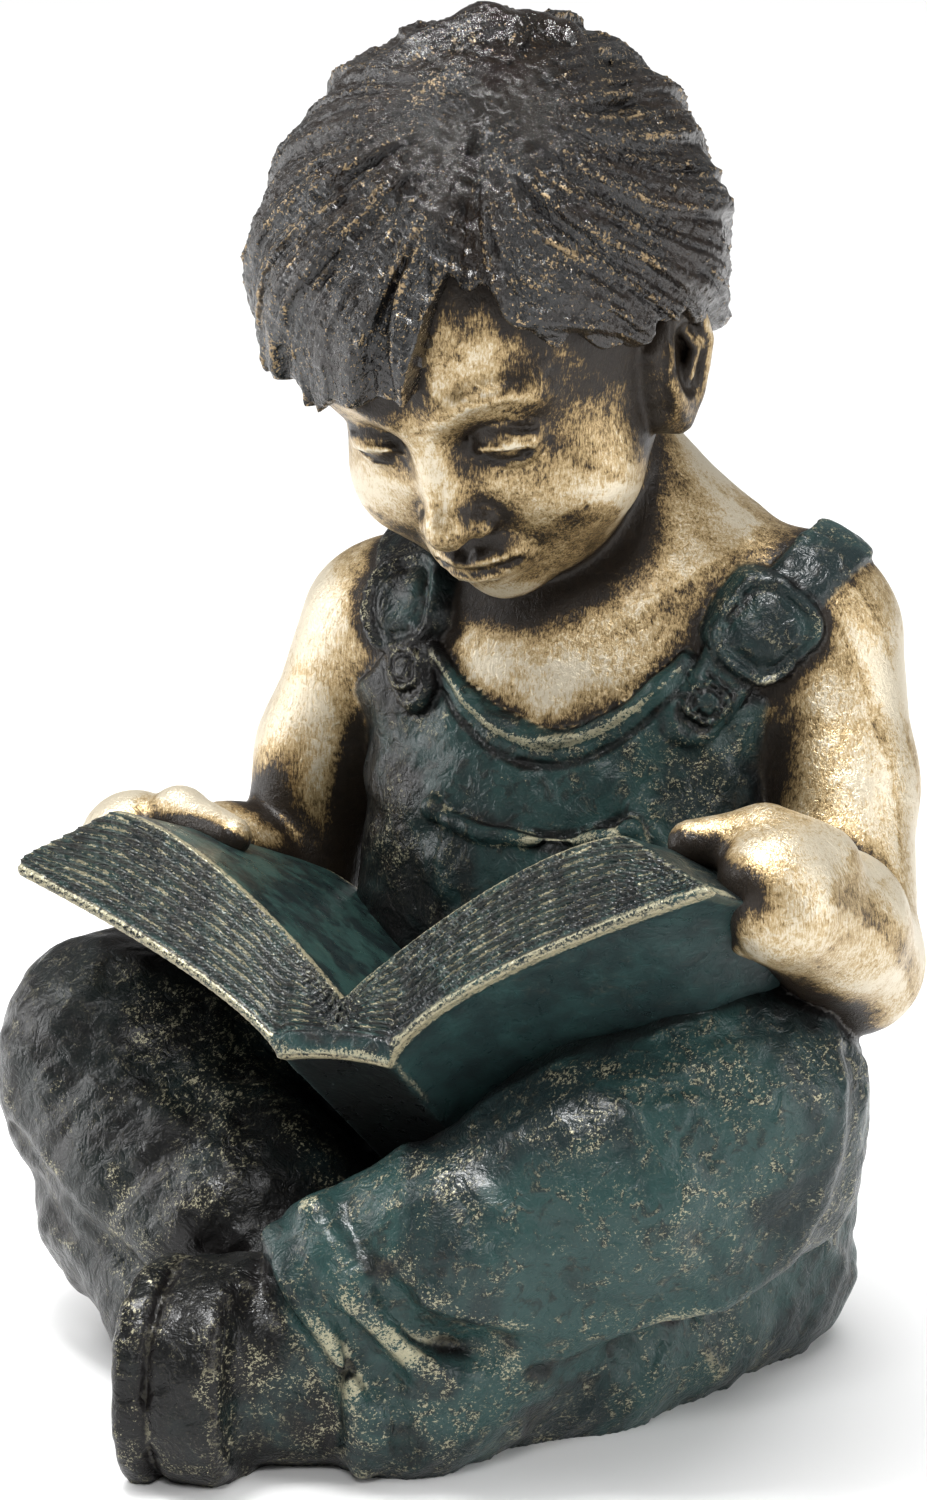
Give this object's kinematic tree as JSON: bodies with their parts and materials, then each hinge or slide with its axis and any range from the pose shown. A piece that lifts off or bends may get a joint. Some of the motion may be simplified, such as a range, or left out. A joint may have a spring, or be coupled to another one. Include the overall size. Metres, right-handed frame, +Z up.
{
  "type": "garden statue of a seated child reading",
  "caption": "Cast garden statue of a child in dungarees sitting cross-legged with an open book across the lap.",
  "frame": {"origin": "centre of the bounding box on the ground, under the figure", "axes": "+Z up; the child faces -Y, and the child's left is +X"},
  "size_m": [0.2862, 0.255, 0.3993],
  "materials": {
    "patinated_resin": "cold-cast resin painted as antique bronze: brushed gold skin, near-black hair, dark green clothes and book, semi-gloss"
  },
  "bodies": {
    "root": {"reading_child": "patinated_resin"}
  },
  "joints": []
}
